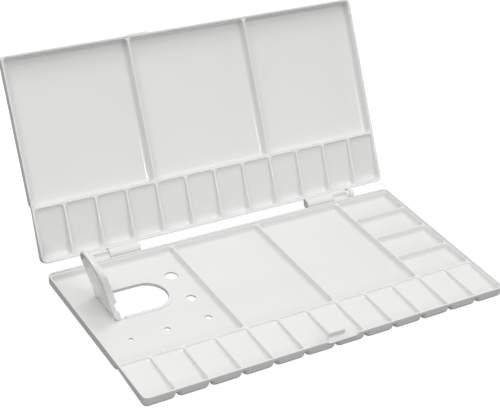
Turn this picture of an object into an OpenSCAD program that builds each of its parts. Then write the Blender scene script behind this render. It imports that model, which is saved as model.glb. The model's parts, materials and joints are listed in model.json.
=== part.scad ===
// Folding mixing palette: a wide shallow base tray, a matching lid tray on two barrel
// hinges behind it, and a small flap that closes the thumb hole.
// Units are millimetres. +X runs along the width, +Y to the hinges, +Z up.
// The origin is the centre of the base tray's underside. The lid and the flap stand open.

/* [Trays] */
// Width of each tray
tray_w = 276; // [240:1:320]
// Depth of each tray, well edge to far edge
tray_d = 138; // [120:1:160]
// Height of each tray, underside to rim plane
rim_h = 8.4; // [7:0.1:12]
// Thickness of the raised outer rim
rim_wall = 1.2; // [1:0.1:2]
// Height of the rim band above the cups
rim_band = 2.2; // [1.6:0.1:3]
// Wall between a cup and the outside of the tray
outer_wall = 1.6; // [1.4:0.1:2.4]
// Wall between two neighbouring cups
divider = 1.4; // [1:0.1:2.4]
// How far the base's dividers stop below its rim
base_drop = 1.8; // [0.4:0.1:2]
// How far the lid's dividers stop below its rim
lid_drop = 0.5; // [0.4:0.1:2]
// Thickness of the floors
floor_t = 1.4; // [1:0.1:2]
// Outside rounding of the tray corners and cup bottoms
cup_r = 4; // [3:0.1:5]
// Air gap between the two rim planes when closed
rim_gap = 0.2; // [0.1:0.05:0.5]
// How far the finger grips stand out of the rims
grip_out = 1; // [0.6:0.1:1.5]
// Ends of the base's finger grip, along X
base_grip = [-9, 17]; // [-60:1:60]
// Ends of the lid's finger grip, along X
lid_grip = [-51, -29]; // [-60:1:60]
// Height of the base's finger grip
grip_h = 1.4; // [1:0.1:2.2]

/* [Wells] */
// Wells in each long row
well_count = 12; // [6:1:16]
// Length of the long-row wells, edge to long divider
well_len = 36.8; // [30:0.1:45]
// Depth of the base's long-row wells at their shallow end
well_shallow = 1.7; // [1:0.1:4]
// The same for the lid's wells
lid_shallow = 1.4; // [1:0.1:4]
// Small wells in the base tray's end column
side_count = 4; // [2:1:6]

/* [Thumb hole] */
// Width of the thumb hole
thumb_w = 27.8; // [22:0.1:34]
// Length of the thumb hole
thumb_l = 40.5; // [34:0.1:50]
// Middle of the thumb hole, along X
thumb_x = -91.05; // [-96:0.05:-88]
// Middle of the thumb hole, along Y
thumb_y = 28.1; // [22:0.1:34]
// Width of the raised lip round the thumb hole
lip_w = 2.4; // [1.5:0.1:3]
// Height of that lip above the panel
lip_h = 1.2; // [0.8:0.1:2]
// How far the lip's ends stop short of the hole's hinge side
lip_back = 3.2; // [3:0.1:6]
// Diameters of the brush holes, largest first
brush_d = [8.4, 6.4, 4.6, 4.0, 3.0]; // [2:0.1:10]
// Their places along X
brush_x = [-59, -59, -59, -89, -115]; // [-125:1:-50]
// Their places along Y
brush_y = [42.6, 15.4, -7.6, -7.6, -7.6]; // [-20:0.1:60]

/* [Thumb flap] */
// Opening angle of the flap, 0 is closed
flap_open = 109.6; // [0:0.1:160]
// Width of the flap's cover
flap_w = 29.8; // [28:0.1:36]
// How far the cover reaches past the lip at its round end
flap_over = 0.3; // [0:0.1:2]
// Top of the closed flap above its hinge axis
flap_top = 1.9; // [1.6:0.1:2.2]
// Height of the flap's outside edge
flap_edge = 2.9; // [2.5:0.1:4]
// Wall thickness of the flap
flap_wall = 1.4; // [1:0.1:2]
// Gap between flap and lip when closed
flap_gap = 0.15; // [0.1:0.05:0.4]
// Start of the plug ring, from the hinge axis
plug_x = 9; // [5:0.1:20]
// Length of the plug ring
plug_l = 28.5; // [20:0.1:34]
// Rounding of the plug ring's far corners
plug_r = 5; // [3:0.1:8]
// Gap between the plug ring and the sides of the thumb hole
plug_gap = 0.8; // [0.3:0.1:1]
// Height of the closed plug ring's foot above the table
plug_low = 0.2; // [0.1:0.1:1]
// Radius of the flap's hinge barrel
flap_barrel_r = 1.9; // [1.6:0.1:2.4]
// Thickness of the flap's two side lugs
lug_t = 1.8; // [1.5:0.1:3]
// Length of the lugs beyond the hinge axis
lug_l = 5; // [3:0.1:8]
// How far the lugs reach below the hinge axis
lug_low = 2.1; // [1.9:0.1:2.2]
// Radius of the flap's hinge pin
flap_pin_r = 0.7; // [0.5:0.05:1]

/* [Lid hinges] */
// Opening angle of the lid, 0 is closed
lid_open = 121; // [0:1:180]
// Distance of the hinge axis behind the trays
hinge_off = 3.7; // [3.4:0.1:5]
// Radius of the lid's hinge barrels
barrel_r = 3.4; // [2.6:0.1:3.6]
// Radius of the base's hinge knuckles
knuckle_r = 3.1; // [2.4:0.1:3.4]
// Radius of the hinge pins
pin_r = 0.9; // [0.7:0.05:1.2]
// Inner end of each hinge, along X
hinge_x = 68.3; // [50:0.1:80]
// Length of the lid barrel
barrel_l = 23; // [16:0.1:30]
// Length of the base knuckle
knuckle_l = 13.9; // [10:0.1:20]
// Radius of the groove along the front of the base knuckle
groove_r = 2.1; // [1.6:0.1:2.2]
// Distance of the groove's axis from the hinge axis
groove_out = 3.3; // [3.3:0.1:3.8]
// Angle at which the groove's axis stands above the front of the hinge axis
groove_rise = 37; // [20:1:50]
// Length of the knuckle's plain outer end
cheek_l = 2.6; // [2:0.1:5]
// Depth of the knuckle's foot below the hinge axis
foot_drop = 0.6; // [0.2:0.1:1.2]
// Length of the outer lid ear
ear_l = 3.8; // [3:0.1:6]
// Side play between hinge pieces
hinge_gap = 0.2; // [0.1:0.05:0.4]

/* [Clasp] */
// Width of the catch on the front rim
clasp_w = 12.6; // [8:0.1:18]
// Height of the catch above the rim plane
clasp_h = 4.4; // [3:0.1:5]

/* [Colours] */
// Colour of the mouldings
shell_colour = "white"; // [white, ivory, gainsboro]
// Colour of the pins
pin_colour = "white"; // [white, ivory, silver]

/* [Hidden] */
$fn = 64;
pitch = tray_w / well_count;
base_top = rim_h - base_drop;
lid_top = rim_h - lid_drop;
band_z = rim_h - rim_band;
cup_in_r = cup_r - floor_t;
bite = 0.1;
column_d = tray_d - well_len;
side_l = column_d / side_count;
hinge_y = tray_d / 2 + hinge_off;
hinge_z = rim_h + rim_gap / 2;
pin_gap = 0.05;
pin_in = 0.5;
panel_in = cup_r + 1;
flap_low = flap_top - flap_edge;
flap_z = floor_t + lip_h + flap_gap - flap_low;
flap_reach = 2.7;
web_x = 1;
flap_x = thumb_x - thumb_l / 2 - flap_reach;
flap_in_y = thumb_w - 5;
ear_t = 2.2;
lug_y = flap_in_y / 2 + 2 * hinge_gap + ear_t;
clasp_y = -tray_d / 2 + rim_wall;

function two(n) = n < 10 ? str("0", n) : str(n);
function well_name(n) = str("front_well_", two(n));
function lid_well_name(n) = str("lid_well_", two(n));
// Column line k, counted from the left edge
function col(k) = -tray_w / 2 + k * pitch;
// Slope of the line from (l, z) that touches a circle of radius r in the corner
function slope(l, z, r) = atan2(z - r, l - r) + asin(r / norm([l - r, z - r]));

// ---- outlines ----

// Rectangle from [0, 0] with all four corners rounded
module rounded(w, l, r) {
    translate([r, 0]) square([w - 2 * r, l]);
    translate([0, r]) square([w, l - 2 * r]);
    for (x = [r, w - r])
        for (y = [r, l - r])
            translate([x, y]) circle(r);
}

// Cup section across its width: upright sides, rounded bottom corners
module section(w, h, r) {
    translate([r, 0]) square([w - 2 * r, h]);
    translate([0, r]) square([w, h - r]);
    for (x = [r, w - r])
        translate([x, r]) circle(r);
}

// Cup section along its length: deep rounded end at 0, floor rising to end_z at l
module ramp(l, h, r, end_z) {
    a = slope(l, end_z, r);
    translate([r, r]) circle(r);
    polygon([[0, r], [0, h], [l, h], [l, end_z], [r + r * sin(a), r - r * cos(a)], [r, r]]);
}

// D outline: straight end at x0, half-round end at x1, centred on y = 0
module dee(x0, x1, w) {
    translate([x0, -w / 2]) square([x1 - w / 2 - x0, w]);
    translate([x1 - w / 2, 0]) circle(w / 2);
}

// Plan of the plug ring: straight end at x0, blunt round-cornered end at x1
module blunt(x0, x1, w, r) {
    translate([x0, -w / 2]) square([x1 - r - x0, w]);
    translate([x0, r - w / 2]) square([x1 - x0, w - 2 * r]);
    for (y = [r - w / 2, w / 2 - r])
        translate([x1 - r, y]) circle(r);
}

// ---- cups, in tray coordinates: y = 0 is the well edge, z = 0 the underside ----

// Block with the cup's plan and both of its sections; end_z = 0 gives a level floor
module cup_body(w, l, h, r, end_z) {
    intersection() {
        linear_extrude(h) rounded(w, l, r);
        rotate([90, 0, 0]) translate([0, 0, -l - 1]) linear_extrude(l + 2) section(w, h, r);
        rotate([90, 0, 90]) translate([0, 0, -1]) linear_extrude(w + 2)
            if (end_z > 0) ramp(l, h, r, end_z);
            else section(l, h, r);
    }
}

// One compartment between x0, x1 and y0, y1, with the flat ledge round its mouth
module cell(x0, x1, y0, y1, top, shallow = 0) {
    half = divider / 2;
    left = x0 <= -tray_w / 2 ? outer_wall : half;
    right = x1 >= tray_w / 2 ? outer_wall : half;
    near = y0 <= 0 ? outer_wall : half;
    far = y1 >= tray_d ? outer_wall : half;
    end_z = shallow > 0 ? top - shallow - floor_t : 0;
    difference() {
        union() {
            translate([x0, y0, 0]) cup_body(x1 - x0, y1 - y0, band_z, cup_r, end_z);
            intersection() {
                translate([x0, y0, band_z]) cube([x1 - x0, y1 - y0, top - band_z]);
                inner_plan();
            }
        }
        translate([x0 + left, y0 + near, floor_t])
            cup_body(x1 - x0 - left - right, y1 - y0 - near - far, rim_h, cup_in_r, end_z);
    }
}

// Everything inside the rim band
module inner_plan() {
    translate([-tray_w / 2 + rim_wall, rim_wall, 0]) linear_extrude(rim_h)
        rounded(tray_w - 2 * rim_wall, tray_d - 2 * rim_wall, cup_r - rim_wall);
}

// Band that carries the raised rim round the whole tray
module rim() {
    difference() {
        translate([-tray_w / 2, 0, band_z]) linear_extrude(rim_band)
            rounded(tray_w, tray_d, cup_r);
        inner_plan();
    }
}

// ---- placing ----

module base() {
    translate([0, -tray_d / 2, 0]) children();
}

module lid() {
    translate([0, hinge_y, hinge_z]) rotate([180 - lid_open, 0, 0])
        translate([0, hinge_off, -hinge_z]) children();
}

module flap() {
    translate([flap_x, thumb_y, flap_z]) rotate([0, -flap_open, 0]) children();
}

// Left hinge from the right one
module side(s) {
    if (s > 0) children();
    else mirror([1, 0, 0]) children();
}

// ---- base tray ----

module base_rim() {
    color(shell_colour) base() union() {
        rim();
        translate([base_grip[0], -grip_out, band_z])
            cube([base_grip[1] - base_grip[0], grip_out + bite, grip_h]);
    }
}

module front_well(n) {
    color(shell_colour) base()
        cell(col(n - 1), col(n), 0, well_len, base_top, well_shallow);
}

module side_well(n) {
    y0 = well_len + (n - 1) * side_l;
    y1 = n == side_count ? tray_d : y0 + side_l;
    color(shell_colour) base() cell(col(10), col(12), y0, y1, base_top);
}

module mixing_pan(n) {
    color(shell_colour) base()
        cell(col(1 + 3 * n), col(4 + 3 * n), well_len, tray_d, base_top);
}

// Walls of the thumb-hole compartment, open in the middle for the panel
module thumb_surround() {
    color(shell_colour) base() difference() {
        cell(col(0), col(4), well_len, tray_d, base_top);
        translate([col(0) + panel_in, well_len + panel_in, -1])
            cube([4 * pitch - 2 * panel_in, column_d - 2 * panel_in, 4]);
    }
}

// Flat bored floor of that compartment
module thumb_panel() {
    w = 4 * pitch - 2 * panel_in;
    l = column_d - 2 * panel_in;
    color(shell_colour) difference() {
        base() translate([col(0) + panel_in, well_len + panel_in, 0])
            cube([w, l, floor_t]);
        translate([0, thumb_y, -1]) linear_extrude(floor_t + 2)
            dee(thumb_x - thumb_l / 2, thumb_x + thumb_l / 2, thumb_w);
        for (i = [0:4])
            translate([brush_x[i], brush_y[i], -1]) cylinder(h = floor_t + 2, d = brush_d[i]);
    }
}

// Raised lip on the three free sides of the thumb hole
module thumb_lip() {
    x0 = thumb_x - thumb_l / 2;
    x1 = thumb_x + thumb_l / 2;
    color(shell_colour) translate([0, thumb_y, floor_t]) linear_extrude(lip_h)
        difference() {
            dee(x0 + lip_back, x1 + lip_w, thumb_w + 2 * lip_w);
            dee(x0, x1, thumb_w);
        }
}

// Ear that holds one end of the flap's pin
module flap_ear(s) {
    h = flap_z - floor_t;
    y = s * (flap_in_y / 2 + hinge_gap) + (s < 0 ? -ear_t : 0);
    color(shell_colour) translate([flap_x, thumb_y + y, floor_t]) difference() {
        union() {
            translate([0, 0, h]) rotate([-90, 0, 0]) cylinder(h = ear_t, r = flap_barrel_r);
            translate([-flap_barrel_r, 0, 0]) cube([2 * flap_barrel_r, ear_t, h]);
        }
        translate([0, -1, h]) rotate([-90, 0, 0]) cylinder(h = ear_t + 2, r = flap_pin_r);
    }
}

module flap_pin() {
    l = 2 * (lug_y + lug_t - pin_in);
    color(pin_colour) translate([flap_x, thumb_y - l / 2, flap_z])
        rotate([-90, 0, 0]) cylinder(h = l, r = flap_pin_r);
}

// Catch that stands up behind the front rim, hooked forwards at its top
module clasp_tab() {
    top = rim_h + clasp_h;
    color(shell_colour) translate([-clasp_w / 2, clasp_y, 0])
        rotate([90, 0, 90]) linear_extrude(clasp_w) polygon([
            [0, base_top], [0, rim_h], [1.3, rim_h + 0.4], [1.3, rim_h + 1.4],
            [0.7, rim_h + 1.9], [0.7, top - 0.9], [1.2, top], [2.5, top], [2.5, base_top]
        ]);
}

// ---- lid hinges ----

// Round hinge piece from x0, l long, with a block reaching from its axis to y = reach
module hinge_piece(x0, l, r, reach, z0, z1, hole) {
    difference() {
        union() {
            translate([x0, 0, 0]) rotate([0, 90, 0]) cylinder(h = l, r = r);
            translate([x0, min(0, reach), z0]) cube([l, abs(reach), z1 - z0]);
        }
        translate([x0 - 1, 0, 0]) rotate([0, 90, 0]) cylinder(h = l + 2, r = hole);
    }
}

// Knuckle of the base, with a shallow groove along its front and top
module hinge_knuckle(s) {
    x0 = hinge_x + barrel_l + hinge_gap;
    color(shell_colour) side(s) translate([0, hinge_y, hinge_z]) difference() {
        hinge_piece(x0, knuckle_l, knuckle_r, -hinge_off, -knuckle_r, -foot_drop, pin_r);
        translate([x0 - 1, -groove_out * cos(groove_rise), groove_out * sin(groove_rise)])
            rotate([0, 90, 0]) cylinder(h = knuckle_l - cheek_l + 1, r = groove_r);
    }
}

module hinge_pin(s) {
    l = barrel_l + knuckle_l + ear_l + 2 * (hinge_gap - pin_in);
    color(pin_colour) side(s) translate([hinge_x + pin_in, hinge_y, hinge_z])
        rotate([0, 90, 0]) cylinder(h = l, r = pin_r);
}

// Places a hinge piece of the lid round the hinge axis
module on_lid_axis() {
    lid() translate([0, -hinge_off, hinge_z]) children();
}

module lid_barrel(s) {
    color(shell_colour) side(s) on_lid_axis()
        hinge_piece(hinge_x, barrel_l, barrel_r, hinge_off, -barrel_r, -rim_gap / 2,
            pin_r + pin_gap);
}

module lid_ear(s) {
    x0 = hinge_x + barrel_l + knuckle_l + 2 * hinge_gap;
    color(shell_colour) side(s) on_lid_axis()
        hinge_piece(x0, ear_l, barrel_r, hinge_off, -barrel_r, -rim_gap / 2,
            pin_r + pin_gap);
}

// ---- lid tray ----

module lid_rim() {
    color(shell_colour) lid() union() {
        rim();
        translate([lid_grip[0], tray_d - bite, band_z])
            cube([lid_grip[1] - lid_grip[0], grip_out + bite, rim_band]);
    }
}

module lid_well(n) {
    color(shell_colour) lid()
        cell(col(n - 1), col(n), 0, well_len, lid_top, lid_shallow);
}

module lid_pan(n) {
    color(shell_colour) lid() cell(col(4 * n - 4), col(4 * n), well_len, tray_d, lid_top);
}

// ---- thumb flap ----

// Hollow cover that lies on the lip, with the web that joins it to the barrel
module flap_cover() {
    x1 = flap_reach + thumb_l + lip_w + flap_over;
    plate_z = flap_top - flap_wall;
    color(shell_colour) flap() union() {
        difference() {
            translate([0, 0, flap_low]) linear_extrude(flap_edge) dee(flap_reach, x1, flap_w);
            translate([0, 0, flap_low - 1]) linear_extrude(plate_z - flap_low + 1)
                dee(flap_reach + flap_wall, x1 - flap_wall, flap_w - 2 * flap_wall);
        }
        difference() {
            translate([web_x, -flap_in_y / 2, 0])
                cube([flap_reach - web_x + bite, flap_in_y, flap_top]);
            rotate([90, 0, 0]) cylinder(h = flap_w, r = flap_barrel_r, center = true);
        }
    }
}

// Lug beside each ear, round the pin and along the cover's corner
module flap_lug(s) {
    y = s * lug_y + (s < 0 ? -lug_t : 0);
    color(shell_colour) flap() difference() {
        translate([0, y, 0]) rotate([-90, 0, 0]) difference() {
            union() {
                cylinder(h = lug_t, r = flap_barrel_r);
                translate([0, -flap_top, 0]) cube([lug_l, flap_top + lug_low, lug_t]);
            }
            translate([0, 0, -1]) cylinder(h = lug_t + 2, r = flap_pin_r + pin_gap);
        }
        translate([flap_reach, -flap_w / 2, flap_low]) cube([lug_l, flap_w, flap_edge + 1]);
    }
}

// Ring under the cover that fits inside the thumb hole
module flap_plug() {
    x1 = plug_x + plug_l;
    w = thumb_w - 2 * plug_gap;
    z0 = plug_low - flap_z;
    color(shell_colour) flap() translate([0, 0, z0])
        linear_extrude(flap_top - flap_wall - z0) difference() {
            blunt(plug_x, x1, w, plug_r);
            blunt(plug_x + flap_wall, x1 - flap_wall, w - 2 * flap_wall, plug_r - flap_wall);
        }
}

module flap_barrel() {
    color(shell_colour) flap() translate([0, -flap_in_y / 2, 0]) rotate([-90, 0, 0])
        difference() {
            cylinder(h = flap_in_y, r = flap_barrel_r);
            translate([0, 0, -1]) cylinder(h = flap_in_y + 2, r = flap_pin_r + pin_gap);
        }
}

// ---- drawing ----

base_rim();
for (n = [1:well_count]) front_well(n);
for (n = [1:side_count]) side_well(n);
mixing_pan(1);  // mixing_pan_1
mixing_pan(2);  // mixing_pan_2
thumb_surround();
thumb_panel();
thumb_lip();
flap_ear(-1);  // flap_ear_front
flap_ear(1);  // flap_ear_back
flap_pin();
clasp_tab();
hinge_knuckle(-1);  // hinge_knuckle_left
hinge_knuckle(1);  // hinge_knuckle_right
hinge_pin(-1);  // hinge_pin_left
hinge_pin(1);  // hinge_pin_right
lid_rim();
for (n = [1:well_count]) lid_well(n);
for (n = [1:3]) lid_pan(n);
lid_barrel(-1);  // lid_barrel_left
lid_barrel(1);  // lid_barrel_right
lid_ear(-1);  // lid_ear_left
lid_ear(1);  // lid_ear_right
flap_cover();
flap_plug();
flap_barrel();
flap_lug(-1);  // flap_lug_front
flap_lug(1);  // flap_lug_back
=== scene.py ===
"""Folding mixing palette: two moulded trays on barrel hinges and a flap over the thumb hole.

Shapes are worked out in millimetres in each moulding's own axes, then placed in the shared frame.
"""

import json
import math

import bmesh
import bpy
from mathutils import Matrix, Vector
from mathutils.geometry import delaunay_2d_cdt


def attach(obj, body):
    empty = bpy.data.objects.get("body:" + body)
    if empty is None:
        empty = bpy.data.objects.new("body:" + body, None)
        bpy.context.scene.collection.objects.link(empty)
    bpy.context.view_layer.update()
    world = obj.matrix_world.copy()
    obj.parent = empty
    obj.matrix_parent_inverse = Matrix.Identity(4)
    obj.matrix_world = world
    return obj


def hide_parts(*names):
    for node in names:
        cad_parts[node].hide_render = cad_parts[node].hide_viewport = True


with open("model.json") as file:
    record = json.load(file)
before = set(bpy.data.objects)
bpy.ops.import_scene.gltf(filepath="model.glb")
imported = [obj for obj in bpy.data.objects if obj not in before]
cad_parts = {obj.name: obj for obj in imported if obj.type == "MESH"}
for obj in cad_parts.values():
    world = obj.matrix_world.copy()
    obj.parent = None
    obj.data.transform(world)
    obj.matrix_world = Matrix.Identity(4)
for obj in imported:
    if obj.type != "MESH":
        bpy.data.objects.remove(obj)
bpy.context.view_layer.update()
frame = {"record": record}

MM = 0.001

# Least corner radius of any outline, so that every ring keeps its full number of points
LEAST_R = 0.12

# ---- sizes shared with the CAD part, in millimetres ----

# Both trays: outside, rim, web between the cups, tops of the dividers and floor
TRAY_W = 276.0
TRAY_D = 138.0
CORNER_R = 4.0
RIM_H = 8.4
RIM_WALL = 1.15
BAND_Z = 6.2
BASE_TOP = 6.6
LID_TOP = 7.9
FLOOR = 1.4

# Layout in columns one well wide; the long row's floors slope up to the end depths
WELLS = 12
SIDE_WELLS = 4
SIDE_COLUMN = 10
PANEL_COLUMNS = 4
PAN_COLUMNS = 3
LID_PAN_COLUMNS = 4
PITCH = TRAY_W / WELLS
WELL_LEN = 36.8
SIDE_L = (TRAY_D - WELL_LEN) / SIDE_WELLS
BASE_END_DEPTH = 1.7
LID_END_DEPTH = 1.4
SLOPE_START = 3.0
SLOPE_LESS = 4.2
LID_SCOOP = 2.2
SCOOP_FROM = 0.2

# Cups: half a divider's thickness, the ledge inside the rim, and the bends of both faces
DIVIDER_HALF = 0.7
RIM_LEDGE = 1.75
CUP_FILLET = 2.6
CUP_DRAFT = 0.18
CUP_LIP = 0.32
FOOT_FILLET = 3.8
FOOT_HALF = 0.26
FOOT_EDGE = 0.16

# Lid hinge, its lean at rest and the groove along the knuckles
HINGE_OFF = 3.7
HINGE_Y = TRAY_D / 2 + HINGE_OFF
HINGE_Z = 8.5
LEAN = 59.0
PIN_R = 0.9
PIN_PLAY = 0.05
PIN_SHY = 0.5
BARREL = (68.3, 91.3)
KNUCKLE = (91.5, 105.4)
EAR = (105.6, 109.4)
BARREL_R = 3.4
KNUCKLE_R = 3.1
CHEEK = 2.6
GROOVE_R = 2.1
GROOVE_OUT = 3.3
GROOVE_RISE = 37

# Thumb hole with its raised lip, and the brush holes as (x, y, diameter)
THUMB_X = -91.05
THUMB_Y = 28.1
THUMB_L = 40.5
THUMB_W = 27.8
LIP_BACK = 3.2
LIP_W = 2.4
LIP_H = 1.2
BRUSH_HOLES = (
    (-59, 42.6, 8.4),
    (-59, 15.4, 6.4),
    (-59, -7.6, 4.6),
    (-89, -7.6, 4.0),
    (-115, -7.6, 3.0),
)

# Front catch and the finger bumps under it and on the lid's edge
CATCH_HALF = 6.3
CATCH_H = 4.4
BASE_BUMP = (-9, 17)
LID_BUMP = (-51, -27)

# Thumb flap: its axis, cover, lugs and plug, and the ears that carry it
FLAP_X = -114.0
FLAP_Z = 3.75
FLAP_OPEN = 109.6
FLAP_TOP = 1.9
FLAP_LOW = -1.0
FLAP_END = 45.9
FLAP_W = 29.8
FLAP_WALL = 1.4
FLAP_NEAR = 2.75
FLAP_R = 1.9
FLAP_PIN_R = 0.7
FLAP_BARREL = 11.4
FLAP_EAR = (11.6, 13.8)
LUG_IN = 14.0
LUG_OUT = 15.8
LUG_LEN = 5.0
LUG_DROP = 2.05
PLUG_X = 9.0
PLUG_END = 37.5
PLUG_W = 26.2
PLUG_R = 5.0
PLUG_LOW = 0.2 - FLAP_Z


# ---- surfaces ----


class Shell:
    """Points and faces of closed surfaces, gathered before they become one mesh."""

    def __init__(self):
        self.points = []
        self.faces = []

    def ring(self, points):
        """Adds points and returns their indices."""
        first = len(self.points)
        self.points.extend(Vector(p) for p in points)
        return list(range(first, len(self.points)))

    def band(self, low, high):
        """Joins two rings of equal length with quads."""
        for i in range(len(low)):
            j = (i + 1) % len(low)
            self.faces.append((low[i], low[j], high[j], high[i]))

    def skin(self, rings):
        """Joins a run of rings and returns the last one."""
        for low, high in zip(rings, rings[1:]):
            self.band(low, high)
        return rings[-1]

    def cap(self, ring):
        """Closes a ring with one face."""
        self.faces.append(tuple(ring))

    def solid(self, rings):
        """Joins a run of rings and closes both of its ends."""
        self.skin(rings)
        self.cap(rings[0])
        self.cap(rings[-1])

    def sheet(self, outer, holes=()):
        """Fills the level area inside the outer ring and outside the hole rings."""
        loops = [outer, *holes]
        indices = [i for loop in loops for i in loop]
        flat = [Vector((self.points[i].x, self.points[i].y)) for i in indices]
        edges = []
        start = 0
        for loop in loops:
            count = len(loop)
            edges += [(start + k, start + (k + 1) % count) for k in range(count)]
            start += count
        points, _, faces, source, _, _ = delaunay_2d_cdt(flat, edges, [], 1, 1e-6)
        outlines = [[self.points[i] for i in loop] for loop in holes]
        for face in faces:
            middle = sum((points[k] for k in face), Vector((0, 0))) / len(face)
            if any(inside(middle, outline) for outline in outlines):
                continue
            self.faces.append(tuple(indices[source[k][0]] for k in face))

    def add(self, other, matrix=None):
        """Takes in another shell, moved by matrix."""
        first = len(self.points)
        self.points.extend(matrix @ p if matrix else p.copy() for p in other.points)
        self.faces.extend(tuple(first + i for i in face) for face in other.faces)

    def mesh_object(self, name, matrix):
        """Turns the shell into an object placed by matrix, with smooth rounded edges."""
        mesh = bpy.data.meshes.new(name)
        mesh.from_pydata([matrix @ p * MM for p in self.points], [], self.faces)
        tool = bmesh.new()
        tool.from_mesh(mesh)
        bmesh.ops.remove_doubles(tool, verts=tool.verts, dist=1e-7)
        bmesh.ops.recalc_face_normals(tool, faces=tool.faces)
        tool.to_mesh(mesh)
        tool.free()
        mesh.shade_smooth()
        mesh.set_sharp_from_angle(angle=math.radians(42))
        thing = bpy.data.objects.new(name, mesh)
        bpy.context.scene.collection.objects.link(thing)
        even = thing.modifiers.new("even_normals", "WEIGHTED_NORMAL")
        even.keep_sharp = True
        even.weight = 60
        return thing


def inside(point, outline):
    """True if a point lies inside an outline seen from above."""
    hit = False
    for i, a in enumerate(outline):
        b = outline[i - 1]
        if (a.y > point.y) != (b.y > point.y):
            if point.x < (b.x - a.x) * (point.y - a.y) / (b.y - a.y) + a.x:
                hit = not hit
    return hit


def arc(count, start, end):
    """Angles from start to end in radians, both included."""
    return [math.radians(start + (end - start) * i / count) for i in range(count + 1)]


def rounded(x0, x1, y0, y1, radius, steps=7):
    """Outline of a rectangle with round corners, anticlockwise."""
    radius = max(radius, LEAST_R)
    centres = [
        (x1 - radius, y0 + radius, -90),
        (x1 - radius, y1 - radius, 0),
        (x0 + radius, y1 - radius, 90),
        (x0 + radius, y0 + radius, 180),
    ]
    return [
        (cx + radius * math.cos(a), cy + radius * math.sin(a))
        for cx, cy, turn in centres
        for a in arc(steps, turn, turn + 90)
    ]


def dee(x0, x1, width, corner=1.2, steps=24):
    """Outline with a straight end at x0 and a half-round end at x1, anticlockwise."""
    half = width / 2
    centre = x1 - half
    corner = max(corner, LEAST_R)
    outline = [
        (centre + half * math.cos(a), half * math.sin(a)) for a in arc(steps, -90, 90)
    ]
    for cy, turn in ((half - corner, 90), (corner - half, 180)):
        outline += [
            (x0 + corner + corner * math.cos(a), cy + corner * math.sin(a))
            for a in arc(5, turn, turn + 90)
        ]
    return outline


def blunt(x0, x1, width, near, far):
    """Outline with small corners at x0 and large round corners at x1, anticlockwise."""
    half = width / 2
    outline = []
    for x, y, radius, turn in (
        (x1, -half, far, -90),
        (x1, half, far, 0),
        (x0, half, near, 90),
        (x0, -half, near, 180),
    ):
        radius = max(radius, LEAST_R)
        cx = x - math.copysign(radius, x - (x0 + x1) / 2)
        cy = y - math.copysign(radius, y)
        outline += [
            (cx + radius * math.cos(a), cy + radius * math.sin(a))
            for a in arc(9, turn, turn + 90)
        ]
    return outline


def circle(x, y, radius, count=40):
    """Outline of a circle, anticlockwise."""
    return [
        (x + radius * math.cos(a), y + radius * math.sin(a))
        for a in arc(count, 0, 360)[:-1]
    ]


# ---- trays ----


class Cup:
    """One compartment of a tray between x0, x1 and y0, y1, its mouth at height top.

    With an end_depth its floor rises to that depth at the far end. A scoop over 1 draws the
    floor's bend further in at the near end.
    """

    def __init__(self, x0, x1, y0, y1, top, end_depth=0.0, scoop=1.0):
        self.x = (x0, x1)
        self.y = (y0, y1)
        self.top = top
        self.end_depth = end_depth
        self.scoop = scoop
        self.holes = []

    def rect(self, half, edge, inset, radius, scoop=1.0):
        """Outline half in from the dividers' middle or edge in from the outside, less inset."""
        x0 = self.x[0] + (edge if self.x[0] <= -TRAY_W / 2 else half) + inset
        x1 = self.x[1] - (edge if self.x[1] >= TRAY_W / 2 else half) - inset
        y0 = self.y[0] + (edge if self.y[0] <= 0 else half) + inset
        y0 += max(inset - SCOOP_FROM, 0.0) * (scoop - 1.0)
        y1 = self.y[1] - (edge if self.y[1] >= TRAY_D else half) - inset
        return rounded(x0, x1, y0, y1, radius - inset)

    def shrink(self, y, full, end):
        """How much of the full depth is left at y, for a floor that rises to the far end."""
        if not self.end_depth:
            return 1.0
        share = (y - self.y[0] - SLOPE_START) / (self.y[1] - self.y[0] - SLOPE_LESS)
        share = min(max(share, 0.0), 1.0)
        return 1.0 + share * (end / full - 1.0)

    def place(self, outline, z, level, full, end):
        """Points of an outline, the part under level squeezed to follow the sloping floor."""
        points = []
        for x, y in outline:
            height = z
            if z < level:
                height = level - (level - z) * self.shrink(y, full, end)
            points.append((x, y, height))
        return points


def cavity(shell, cup, holes=()):
    """Inside of a cup from its floor to its mouth; returns the ring round the mouth."""
    fillet = CUP_FILLET
    foot = CUP_DRAFT + fillet
    lip = CUP_LIP
    level = cup.top - lip
    full = level - FLOOR
    end = cup.end_depth - lip
    rings = []
    stages = [(foot + 0.7, FLOOR)]
    for a in arc(7, 0, 90):
        stages.append((foot - fillet * math.sin(a), FLOOR + fillet - fillet * math.cos(a)))
    stages.append((0.02, level - 0.25))
    for a in arc(4, 0, 90):
        stages.append((lip * math.cos(a) - lip, level + lip * math.sin(a)))
    for inset, z in stages:
        outline = cup.rect(DIVIDER_HALF, RIM_LEDGE, inset, CUP_FILLET, cup.scoop)
        rings.append(shell.ring(cup.place(outline, z, level, full, end)))
    shell.skin(rings)
    if holes:
        shell.sheet(rings[0], holes)
    else:
        shell.cap(rings[0])
    return rings[-1]


def underside(shell, cup, holes=()):
    """Outside of a cup from its foot up to the web; returns the ring where it meets it."""
    fillet = FOOT_FILLET
    level = BAND_Z
    end = BAND_Z - (cup.top - cup.end_depth - FLOOR)
    stages = [(fillet + 0.8, 0.0)]
    for a in arc(8, 0, 90):
        stages.append((fillet - fillet * math.sin(a), fillet - fillet * math.cos(a)))
    stages.append((0.0, level - 0.4))
    stages.append((-0.06, level))
    rings = []
    for inset, z in stages:
        outline = cup.rect(FOOT_HALF, FOOT_EDGE, inset, CORNER_R - 0.2)
        rings.append(shell.ring(cup.place(outline, z, level, level, end)))
    shell.skin(rings)
    if holes:
        shell.sheet(rings[0], holes)
    else:
        shell.cap(rings[0])
    return rings[-1]


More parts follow.
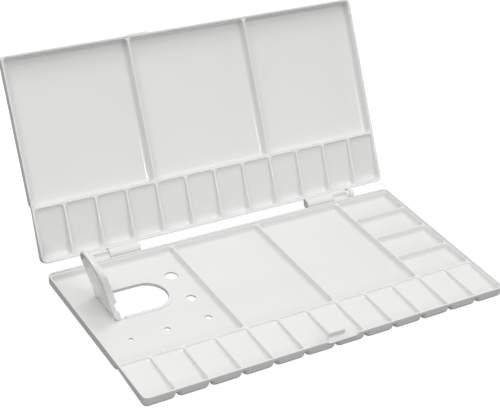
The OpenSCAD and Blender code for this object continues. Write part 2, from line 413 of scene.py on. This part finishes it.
def tunnel(shell, outline):
    """Wall of a hole through a floor, with softened edges; returns its end rings."""
    edge = 0.22
    stages = []
    for a in arc(3, 0, 90):
        stages.append((edge - edge * math.sin(a), edge - edge * math.cos(a)))
    for a in arc(3, 0, 90):
        stages.append((edge - edge * math.cos(a), FLOOR - edge + edge * math.sin(a)))
    rings = [shell.ring([(x, y, z) for x, y in outline(grow)]) for grow, z in stages]
    shell.skin(rings)
    return rings[0], rings[-1]


def tray(cups, top):
    """A whole tray moulding: y = 0 is the well edge and z = 0 the underside."""
    shell = Shell()
    mouths = []
    feet = []
    for cup in cups:
        ends = [tunnel(shell, outline) for outline in cup.holes]
        mouths.append(cavity(shell, cup, [high for _, high in ends]))
        feet.append(underside(shell, cup, [low for low, _ in ends]))

    def outline(inset):
        return rounded(
            -TRAY_W / 2 + inset, TRAY_W / 2 - inset, inset, TRAY_D - inset, CORNER_R - inset, 10
        )

    soft = 0.34
    stages = [(0.0, BAND_Z)]
    for a in arc(4, 0, 90):
        stages.append((soft - soft * math.cos(a), RIM_H - soft + soft * math.sin(a)))
    for a in arc(4, 0, 90):
        stages.append((RIM_WALL - soft + soft * math.sin(a), RIM_H - soft + soft * math.cos(a)))
    stages.append((RIM_WALL, top + 0.12))
    stages.append((RIM_WALL + 0.12, top))
    rings = [shell.ring([(x, y, z) for x, y in outline(inset)]) for inset, z in stages]
    shell.skin(rings)
    shell.sheet(rings[0], feet)
    shell.sheet(rings[-1], mouths)
    return shell


def column(k):
    """Left edge of column k, or the middle of the divider there."""
    return -TRAY_W / 2 + k * PITCH


# ---- small solids ----


def slab(x0, x1, y0, y1, z0, z1, soft=0.3):
    """A block with rounded edges."""
    tool = bmesh.new()
    bmesh.ops.create_cube(tool, size=1.0)
    for v in tool.verts:
        v.co.x = x0 if v.co.x < 0 else x1
        v.co.y = y0 if v.co.y < 0 else y1
        v.co.z = z0 if v.co.z < 0 else z1
    bmesh.ops.bevel(
        tool, geom=tool.edges[:], offset=soft, segments=3, profile=0.5, affect="EDGES"
    )
    shell = Shell()
    shell.points = [v.co.copy() for v in tool.verts]
    shell.faces = [tuple(v.index for v in f.verts) for f in tool.faces]
    tool.free()
    return shell


def turned(stages, count=40):
    """A closed solid turned about X from (x, radius) stages; a zero radius closes an end."""
    shell = Shell()
    rings = []
    for x, radius in stages:
        rings.append(
            shell.ring(
                [
                    (x, radius * math.cos(a), radius * math.sin(a))
                    for a in arc(count, 0, 360)[:-1]
                ]
            )
        )
    shell.skin(rings)
    return shell, rings


def tube(x0, x1, radius, bore, soft=0.35):
    """A hinge barrel: round edges outside, a small countersink at each end."""
    stages = []
    sink = 0.25
    stages.append((x0 + sink, bore))
    stages.append((x0, bore + sink))
    for a in arc(4, 0, 90):
        stages.append((x0 + soft - soft * math.cos(a), radius - soft + soft * math.sin(a)))
    for a in arc(4, 0, 90):
        stages.append((x1 - soft + soft * math.sin(a), radius - soft + soft * math.cos(a)))
    stages.append((x1, bore + sink))
    stages.append((x1 - sink, bore))
    shell, rings = turned(stages)
    shell.band(rings[-1], rings[0])
    return shell


def wire(x0, x1, radius):
    """A pin with domed ends."""
    stages = []
    dome = radius * 0.45
    for a in arc(4, 0, 90):
        stages.append((x0 + dome - dome * math.cos(a), max(radius * math.sin(a), 0.02)))
    for a in arc(4, 90, 0):
        stages.append((x1 - dome + dome * math.cos(a), max(radius * math.sin(a), 0.02)))
    shell, rings = turned(stages, 28)
    shell.cap(rings[0])
    shell.cap(rings[-1])
    return shell


def swell(x0, x1, y, z, out, half, ease, direction):
    """A finger bump on a wall at y: an oval ridge that fades into the wall at both ends.

    Its height over the wall is out, its half width is half, and each end is ease long.
    """
    shell = Shell()
    rings = []
    steps = 36
    for i in range(steps + 1):
        x = x0 + (x1 - x0) * i / steps
        near = min(i, steps - i) / steps * (x1 - x0) / ease
        rise = 0.5 - 0.5 * math.cos(math.pi * min(near, 1.0))
        depth = max(out * rise, 0.01)
        tall = half * (0.55 + 0.45 * rise)
        section = []
        for a in arc(16, -90, 90):
            bulge = abs(math.cos(a)) ** 0.55
            lift = math.copysign(abs(math.sin(a)) ** 0.8, math.sin(a))
            section.append((x, y + direction * depth * bulge, z + tall * lift))
        section.append((x, y - direction * 0.5, z + tall))
        section.append((x, y - direction * 0.5, z - tall))
        rings.append(shell.ring(section))
    shell.solid(rings)
    return shell


# ---- base tray ----


def thumb_outline(grow):
    """Outline of the thumb hole in the tray's own axes, widened by grow."""
    return [
        (x, y + THUMB_Y + TRAY_D / 2)
        for x, y in dee(
            THUMB_X - THUMB_L / 2 - grow,
            THUMB_X + THUMB_L / 2 + grow,
            THUMB_W + 2 * grow,
            1.4 + grow,
        )
    ]


def brush_outline(x, y, radius):
    """Outline of a brush hole, as a function of how far it is widened."""
    return lambda grow: circle(x, y + TRAY_D / 2, radius + grow)


def thumb_lip():
    """Raised lip on the thumb hole's three free sides: a round-topped section along a path."""
    shell = Shell()
    half = THUMB_W / 2
    left = THUMB_X - THUMB_L / 2
    centre = THUMB_X + THUMB_L / 2 - half
    path = [((left + LIP_BACK, -half), (0, -1)), ((centre, -half), (0, -1))]
    for a in arc(28, -90, 90)[1:-1]:
        out = (math.cos(a), math.sin(a))
        path.append(((centre + half * out[0], half * out[1]), out))
    path += [((centre, half), (0, 1)), ((left + LIP_BACK, half), (0, 1))]
    top = FLOOR + LIP_H
    soft = 0.5
    section = [(-0.05, 0.4), (-0.05, top - soft)]
    for a in arc(4, 180, 90):
        section.append((soft - 0.05 + soft * math.cos(a), top - soft + soft * math.sin(a)))
    for a in arc(4, 90, 0):
        section.append((LIP_W - 0.6 + soft * math.cos(a), top - soft + soft * math.sin(a)))
    section.append((LIP_W - 0.05, FLOOR + 0.25))
    section.append((LIP_W + 0.25, FLOOR - 0.05))
    section.append((LIP_W + 0.25, 0.4))
    rings = []
    for (x, y), (nx, ny) in path:
        rings.append(
            shell.ring(
                [
                    (x + nx * out, y + ny * out + THUMB_Y + TRAY_D / 2, z)
                    for out, z in section
                ]
            )
        )
    shell.solid(rings)
    return shell


def clasp():
    """Catch behind the front rim: a tab that leans over a notch at its front foot."""
    shell = Shell()
    foot = RIM_WALL
    top = RIM_H + CATCH_H
    profile = [
        (foot, 5.6),
        (foot, RIM_H - 0.15),
        (foot + 1.2, RIM_H + 0.35),
        (foot + 1.3, RIM_H + 0.9),
        (foot + 1.15, RIM_H + 1.5),
        (foot + 1.0, RIM_H + 1.9),
        (foot + 1.0, RIM_H + 2.6),
        (foot + 1.05, top - 1.0),
        (foot + 1.2, top - 0.35),
        (foot + 1.5, top - 0.04),
        (foot + 1.8, top),
        (foot + 2.25, top - 0.12),
        (foot + 2.48, top - 0.5),
        (foot + 2.5, top - 1.6),
        (foot + 2.55, 7.2),
        (foot + 2.8, 5.6),
    ]
    middle = foot + 1.6
    free = RIM_H + 0.6
    ends = [(CATCH_HALF - 0.35, 0.0), (CATCH_HALF - 0.12, 0.12), (CATCH_HALF, 0.35)]
    stages = [(-x, pinch) for x, pinch in reversed(ends)] + ends
    rings = []
    for x, pinch in stages:
        ring = []
        for y, z in profile:
            drop = pinch if z > free else 0.0
            ring.append((x, y + (middle - y) * pinch * 0.3, z - drop))
        rings.append(shell.ring(ring))
    shell.solid(rings)
    return shell


def flap_ears():
    """Two small ears on the panel that carry the flap's pin."""
    shell = Shell()
    foot = -FLAP_Z + 0.6
    for side in (-1, 1):
        y0, y1 = sorted(side * y for y in FLAP_EAR)
        rings = []
        for y, pinch in ((y0, 0.2), (y0 + 0.2, 0.0), (y1 - 0.2, 0.0), (y1, 0.2)):
            ring = []
            for a in arc(14, 0, 180):
                reach = FLAP_R - pinch
                ring.append((reach * math.cos(a), y, reach * math.sin(a)))
            ring.append((pinch - FLAP_R, y, foot))
            ring.append((FLAP_R - pinch, y, foot))
            rings.append(shell.ring(ring))
        shell.solid(rings)
    moved = Shell()
    moved.add(shell, Matrix.Translation((FLAP_X, THUMB_Y + TRAY_D / 2, FLAP_Z)))
    return moved


def mirrored(shell):
    """The same piece for the other end of the tray."""
    other = Shell()
    other.add(shell, Matrix.Diagonal((-1, 1, 1, 1)))
    return other


def hinge_tubes():
    """Barrel and ear of the lid's right hinge round the axis, with the webs to its wall."""
    shell = Shell()
    for x0, x1 in (BARREL, EAR):
        shell.add(tube(x0, x1, BARREL_R, PIN_R + PIN_PLAY, 0.9))
        shell.add(slab(x0 + 0.5, x1 - 0.5, 0.0, 4.2, 0.1 - BARREL_R, -0.12, 0.25))
    return shell


def hinge_knuckle():
    """Knuckle of the base's right hinge, with a shallow groove along its front and top."""
    shell = Shell()
    foot = -HINGE_OFF - 0.5
    ledge = -0.6
    facing = 180 - GROOVE_RISE
    opposite = facing + 180
    centre_y = GROOVE_OUT * math.cos(math.radians(facing))
    centre_z = GROOVE_OUT * math.sin(math.radians(facing))
    spread = (KNUCKLE_R**2 + GROOVE_OUT**2 - GROOVE_R**2) / (2 * KNUCKLE_R * GROOVE_OUT)
    spread = math.degrees(math.acos(spread))
    turn = (GROOVE_OUT**2 + GROOVE_R**2 - KNUCKLE_R**2) / (2 * GROOVE_OUT * GROOVE_R)
    turn = math.degrees(math.acos(turn))
    blend = 2.5
    groove_blend = 6
    ledge_turn = 188
    section = [(foot, ledge)]
    for a in arc(3, ledge_turn, facing + spread + blend):
        section.append((KNUCKLE_R * math.cos(a), KNUCKLE_R * math.sin(a)))
    for a in arc(14, opposite - turn + groove_blend, opposite + turn - groove_blend):
        section.append((centre_y + GROOVE_R * math.cos(a), centre_z + GROOVE_R * math.sin(a)))
    for a in arc(20, facing - spread - blend, -90):
        section.append((KNUCKLE_R * math.cos(a), KNUCKLE_R * math.sin(a)))
    section.append((foot, -KNUCKLE_R))
    inner = KNUCKLE[1] - CHEEK
    rings = []
    for x in (KNUCKLE[0], inner):
        rings.append(shell.ring([(x, y, z) for y, z in section]))
    shell.solid(rings)
    start = inner - 0.01
    shell.add(tube(start, KNUCKLE[1], KNUCKLE_R, PIN_R, 0.4))
    shell.add(slab(start, KNUCKLE[1] - 0.1, foot, 0.0, 0.1 - KNUCKLE_R, ledge, 0.25))
    return shell


def base_shell():
    """The whole base moulding."""
    cups = []
    for n in range(WELLS):
        cups.append(Cup(column(n), column(n + 1), 0, WELL_LEN, BASE_TOP, BASE_END_DEPTH))
    for n in range(SIDE_WELLS):
        near = WELL_LEN + n * SIDE_L
        far = TRAY_D if n == SIDE_WELLS - 1 else near + SIDE_L
        cups.append(Cup(column(SIDE_COLUMN), column(WELLS), near, far, BASE_TOP))
    for k in range(PANEL_COLUMNS, SIDE_COLUMN, PAN_COLUMNS):
        cups.append(Cup(column(k), column(k + PAN_COLUMNS), WELL_LEN, TRAY_D, BASE_TOP))
    panel = Cup(column(0), column(PANEL_COLUMNS), WELL_LEN, TRAY_D, BASE_TOP)
    panel.holes.append(thumb_outline)
    for x, y, size in BRUSH_HOLES:
        panel.holes.append(brush_outline(x, y, size / 2))
    cups.append(panel)
    shell = tray(cups, BASE_TOP)
    shell.add(thumb_lip())
    shell.add(clasp())
    shell.add(flap_ears())
    shell.add(
        swell(*BASE_BUMP, y=0.0, z=BAND_Z + 0.9, out=1.0, half=0.8, ease=4.0, direction=-1)
    )
    for piece in (hinge_knuckle(), mirrored(hinge_knuckle())):
        shell.add(piece, Matrix.Translation((0, TRAY_D + HINGE_OFF, HINGE_Z)))
    return shell


def lid_shell():
    """The whole lid moulding, laid out like the base with its wells along the hinge."""
    cups = []
    for n in range(WELLS):
        cups.append(Cup(column(n), column(n + 1), 0, WELL_LEN, LID_TOP, LID_END_DEPTH, LID_SCOOP))
    for k in range(0, WELLS, LID_PAN_COLUMNS):
        cups.append(Cup(column(k), column(k + LID_PAN_COLUMNS), WELL_LEN, TRAY_D, LID_TOP))
    shell = tray(cups, LID_TOP)
    shell.add(
        swell(*LID_BUMP, y=TRAY_D, z=BAND_Z + 1.1, out=1.0, half=1.05, ease=6.0, direction=1)
    )
    for piece in (hinge_tubes(), mirrored(hinge_tubes())):
        shell.add(piece, Matrix.Translation((0, -HINGE_OFF, HINGE_Z)))
    return shell


# ---- thumb flap ----


def flap_shell():
    """Hollow cover, plug ring and hinge barrel; x runs out from the hinge, z up when closed."""
    shell = Shell()
    wall = FLAP_WALL

    def outline(inset):
        return dee(FLAP_NEAR + inset, FLAP_END - inset, FLAP_W - 2 * inset, 1.4 - inset)

    def plug(inset):
        return blunt(
            PLUG_X + inset, PLUG_END - inset, PLUG_W - 2 * inset, 1.5 - inset, PLUG_R - inset
        )

    soft = 1.3
    fillet = 0.1
    plate = FLAP_TOP - wall
    stages = [(soft + 0.6, FLAP_TOP)]
    for a in arc(5, 0, 90):
        stages.append((soft - soft * math.sin(a), FLAP_TOP - soft + soft * math.cos(a)))
    edge = 0.5
    for a in arc(4, 0, 90):
        stages.append((edge - edge * math.cos(a), FLAP_LOW + edge - edge * math.sin(a)))
    for a in arc(4, 0, 90):
        stages.append((wall - edge + edge * math.sin(a), FLAP_LOW + edge - edge * math.cos(a)))
    stages.append((wall, plate - fillet))
    stages.append((wall + fillet, plate))
    rings = [shell.ring([(x, y, z) for x, y in outline(inset)]) for inset, z in stages]
    shell.skin(rings)
    shell.cap(rings[0])
    low = PLUG_LOW
    stages = [(-fillet, plate), (0.0, plate - fillet)]
    for a in arc(3, 0, 90):
        stages.append((edge - edge * math.cos(a), low + edge - edge * math.sin(a)))
    for a in arc(3, 0, 90):
        stages.append((wall - edge + edge * math.sin(a), low + edge - edge * math.cos(a)))
    stages.append((wall, plate - 0.3))
    stages.append((wall + 0.3, plate))
    inner = [shell.ring([(x, y, z) for x, y in plug(inset)]) for inset, z in stages]
    shell.skin(inner)
    shell.sheet(rings[-1], [inner[0]])
    shell.cap(inner[-1])
    half = FLAP_BARREL
    barrel = tube(-half, half, FLAP_R, FLAP_PIN_R + PIN_PLAY, 0.3)
    shell.add(barrel, Matrix.Rotation(math.radians(90), 4, "Z"))
    shell.add(slab(0.2, FLAP_NEAR + 1.5, -half, half, 0.1, FLAP_TOP - 0.02, 0.3))
    for side in (-1, 1):
        y0, y1 = sorted((side * (LUG_IN + 0.05), side * (LUG_OUT - 0.05)))
        lug = Shell()
        rings = []
        for y, pinch in (
            (y0, 0.3),
            (y0 + 0.1, 0.12),
            (y0 + 0.3, 0.0),
            (y1 - 0.3, 0.0),
            (y1 - 0.1, 0.12),
            (y1, 0.3),
        ):
            ring = []
            reach = FLAP_R - pinch
            for a in arc(12, 90, 250):
                ring.append((reach * math.cos(a), y, reach * math.sin(a)))
            ring.append((0.3, y, pinch - LUG_DROP))
            ring.append((LUG_LEN - 0.6, y, pinch - LUG_DROP))
            ring.append((LUG_LEN - pinch, y, pinch - LUG_DROP + 0.55))
            ring.append((LUG_LEN - pinch, y, FLAP_TOP - 0.7))
            ring.append((LUG_LEN - 0.6, y, FLAP_TOP - 0.1 - pinch))
            rings.append(lug.ring(ring))
        lug.solid(rings)
        shell.add(lug)
    return shell


# ---- materials ----


def white_plastic(name, tint, seed):
    """Semi-gloss white moulding: faint flow marks, uneven gloss, fine wear and dust."""
    material = bpy.data.materials.new(name)
    material.use_nodes = True
    nodes = material.node_tree.nodes
    links = material.node_tree.links
    nodes.clear()
    out = nodes.new("ShaderNodeOutputMaterial")
    shader = nodes.new("ShaderNodeBsdfPrincipled")
    links.new(shader.outputs["BSDF"], out.inputs["Surface"])
    shader.inputs["IOR"].default_value = 1.59
    shader.inputs["Specular IOR Level"].default_value = 0.7
    place = nodes.new("ShaderNodeTexCoord")

    def noise(scale, detail, rough):
        node = nodes.new("ShaderNodeTexNoise")
        node.noise_dimensions = "4D"
        node.inputs["W"].default_value = seed
        node.inputs["Scale"].default_value = scale
        node.inputs["Detail"].default_value = detail
        node.inputs["Roughness"].default_value = rough
        links.new(place.outputs["Object"], node.inputs["Vector"])
        return node

    def ramp(source, low, high, first, last):
        node = nodes.new("ShaderNodeMapRange")
        node.inputs["From Min"].default_value = low
        node.inputs["From Max"].default_value = high
        node.inputs["To Min"].default_value = first
        node.inputs["To Max"].default_value = last
        links.new(source, node.inputs["Value"])
        return node.outputs["Result"]

    cloud = noise(9.0, 3.0, 0.55)
    grain = noise(900.0, 2.0, 0.6)
    wear = noise(60.0, 6.0, 0.7)

    colour = nodes.new("ShaderNodeMix")
    colour.data_type = "RGBA"
    colour.inputs["A"].default_value = (tint[0] * 0.975, tint[1] * 0.975, tint[2] * 0.97, 1)
    colour.inputs["B"].default_value = (*tint, 1)
    links.new(ramp(cloud.outputs["Fac"], 0.3, 0.7, 0.0, 1.0), colour.inputs["Factor"])
    specks = nodes.new("ShaderNodeMix")
    specks.data_type = "RGBA"
    specks.inputs["B"].default_value = (tint[0] * 0.93, tint[1] * 0.93, tint[2] * 0.91, 1)
    links.new(colour.outputs["Result"], specks.inputs["A"])
    links.new(ramp(wear.outputs["Fac"], 0.62, 0.78, 0.0, 0.55), specks.inputs["Factor"])
    links.new(specks.outputs["Result"], shader.inputs["Base Color"])

    gloss = nodes.new("ShaderNodeMath")
    gloss.operation = "ADD"
    links.new(ramp(cloud.outputs["Fac"], 0.3, 0.7, 0.09, 0.13), gloss.inputs[0])
    links.new(ramp(wear.outputs["Fac"], 0.5, 0.75, 0.0, 0.07), gloss.inputs[1])
    links.new(gloss.outputs["Value"], shader.inputs["Roughness"])

    height = nodes.new("ShaderNodeMath")
    height.operation = "MULTIPLY_ADD"
    links.new(grain.outputs["Fac"], height.inputs[0])
    height.inputs[1].default_value = 0.02
    links.new(cloud.outputs["Fac"], height.inputs[2])
    bump = nodes.new("ShaderNodeBump")
    bump.inputs["Strength"].default_value = 0.35
    bump.inputs["Distance"].default_value = 0.0003
    links.new(height.outputs["Value"], bump.inputs["Height"])
    links.new(bump.outputs["Normal"], shader.inputs["Normal"])
    return material


# ---- the object ----

record = frame["record"]
bodies = record["behaviour"]["bodies"]
pins = ["hinge_pin_left", "hinge_pin_right", "flap_pin"]

base_place = Matrix.Translation((0, -TRAY_D / 2, 0))
lid_place = (
    Matrix.Translation((0, HINGE_Y, HINGE_Z))
    @ Matrix.Rotation(math.radians(LEAN), 4, "X")
    @ Matrix.Translation((0, HINGE_OFF, -HINGE_Z))
)
flap_place = Matrix.Translation((FLAP_X, THUMB_Y, FLAP_Z)) @ Matrix.Rotation(
    math.radians(-FLAP_OPEN), 4, "Y"
)

shell_white = (0.80, 0.80, 0.79)
plastic = white_plastic("palette_plastic", shell_white, 1.7)
pin_plastic = white_plastic("pin_plastic", shell_white, 4.3)

base_tray = base_shell().mesh_object("base_tray", base_place)
lid_tray = lid_shell().mesh_object("lid_tray", lid_place)
thumb_flap = flap_shell().mesh_object("thumb_flap", flap_place)
for thing, body in ((base_tray, "base"), (lid_tray, "lid"), (thumb_flap, "flap")):
    thing.data.materials.append(plastic)
    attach(thing, body)
    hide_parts(*[n for n in bodies[body] if n not in pins])

hinge_axis = Matrix.Translation((0, HINGE_Y, HINGE_Z))
flap_axis = Matrix.Translation((FLAP_X, THUMB_Y, FLAP_Z)) @ Matrix.Rotation(
    math.radians(90), 4, "Z"
)
for node, low, high, radius, place in (
    ("hinge_pin_right", BARREL[0] + PIN_SHY, EAR[1] - PIN_SHY, PIN_R, hinge_axis),
    ("hinge_pin_left", PIN_SHY - EAR[1], -BARREL[0] - PIN_SHY, PIN_R, hinge_axis),
    ("flap_pin", PIN_SHY - LUG_OUT, LUG_OUT - PIN_SHY, FLAP_PIN_R, flap_axis),
):
    pin = wire(low, high, radius).mesh_object("wire_" + node, place)
    pin.data.materials.append(pin_plastic)
    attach(pin, "base")
    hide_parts(node)

# ---- stage, light and camera ----


def plain(name, colour, rough, glow):
    """A plain pale surface that glows a little."""
    material = bpy.data.materials.new(name)
    material.use_nodes = True
    shader = material.node_tree.nodes["Principled BSDF"]
    shader.inputs["Base Color"].default_value = (*colour, 1)
    shader.inputs["Roughness"].default_value = rough
    shader.inputs["Specular IOR Level"].default_value = 0.1
    shader.inputs["Emission Color"].default_value = (1, 1, 1, 1)
    shader.inputs["Emission Strength"].default_value = glow
    return material


floor_mesh = bpy.data.meshes.new("studio_floor")
reach = 8.0
floor_mesh.from_pydata(
    [(-reach, -reach, 0), (reach, -reach, 0), (reach, reach, 0), (-reach, reach, 0)],
    [],
    [(0, 1, 2, 3)],
)
studio_floor = bpy.data.objects.new("studio_floor", floor_mesh)
studio_floor.location.z = -0.0002
bpy.context.scene.collection.objects.link(studio_floor)
studio_floor.visible_diffuse = False
studio_floor.visible_glossy = False
floor_mesh.materials.append(plain("studio_white", (0.2, 0.2, 0.2), 0.9, 0.92))


def area_light(name, place, size, power):
    """A rectangular lamp at place that faces the palette, in metres and watts."""
    data = bpy.data.lights.new(name, "AREA")
    data.shape = "RECTANGLE"
    data.size = size[0]
    data.size_y = size[1]
    data.energy = power
    lamp = bpy.data.objects.new(name, data)
    lamp.location = place
    lamp.rotation_euler = (-Vector(place)).to_track_quat("-Z", "Y").to_euler()
    bpy.context.scene.collection.objects.link(lamp)
    return lamp


# A soft lamp from the front right, one high on the left, and weaker ones that fill the rest
area_light("key", (0.48, -1.34, 1.93), (0.4, 0.4), 7)
area_light("above", (0.05, 0.45, 2.35), (0.6, 0.5), 9)
area_light("left", (-1.12, -0.25, 2.1), (1.0, 1.0), 13)
area_light("right", (2.28, 0.0, 0.74), (1.0, 1.0), 3.5)
area_light("behind", (0.0, 2.12, 1.13), (1.0, 1.0), 4)
area_light("front", (0.25, -2.12, 1.11), (0.3, 0.3), 5.5)

# A sky that is darker below the horizon, so that undersides stay in shade
world = bpy.data.worlds.new("studio")
world.use_nodes = True
sky = world.node_tree.nodes["Background"]
sky.inputs["Color"].default_value = (1, 1, 1, 1)
heading = world.node_tree.nodes.new("ShaderNodeTexCoord")
parts = world.node_tree.nodes.new("ShaderNodeSeparateXYZ")
world.node_tree.links.new(heading.outputs["Generated"], parts.inputs["Vector"])
fade = world.node_tree.nodes.new("ShaderNodeMapRange")
fade.inputs["From Min"].default_value = -0.2
fade.inputs["From Max"].default_value = 0.2
fade.inputs["To Min"].default_value = 0.16
fade.inputs["To Max"].default_value = 0.58
world.node_tree.links.new(parts.outputs["Z"], fade.inputs["Value"])
world.node_tree.links.new(fade.outputs["Result"], sky.inputs["Strength"])
bpy.context.scene.world = world

# The camera stands front left and above; its directions are made square to each other
camera_data = bpy.data.cameras.new("camera")
camera_data.sensor_width = 36
camera_data.lens = 97.6
camera_data.clip_end = 50
camera = bpy.data.objects.new("camera", camera_data)
right = Vector((0.8509, -0.5170, 0.0934)).normalized()
ahead = Vector((0.4820, 0.6972, -0.5307)).normalized()
above = right.cross(ahead).normalized()
right = ahead.cross(above).normalized()
turn = Matrix((right, above, -ahead)).transposed().to_4x4()
place = Matrix.Translation((-0.4425, -0.5950, 0.5290))
camera.matrix_world = place @ turn
bpy.context.scene.collection.objects.link(camera)
bpy.context.scene.camera = camera

view = bpy.context.scene.view_settings
view.view_transform = "Standard"
view.look = "None"
view.exposure = 0.0
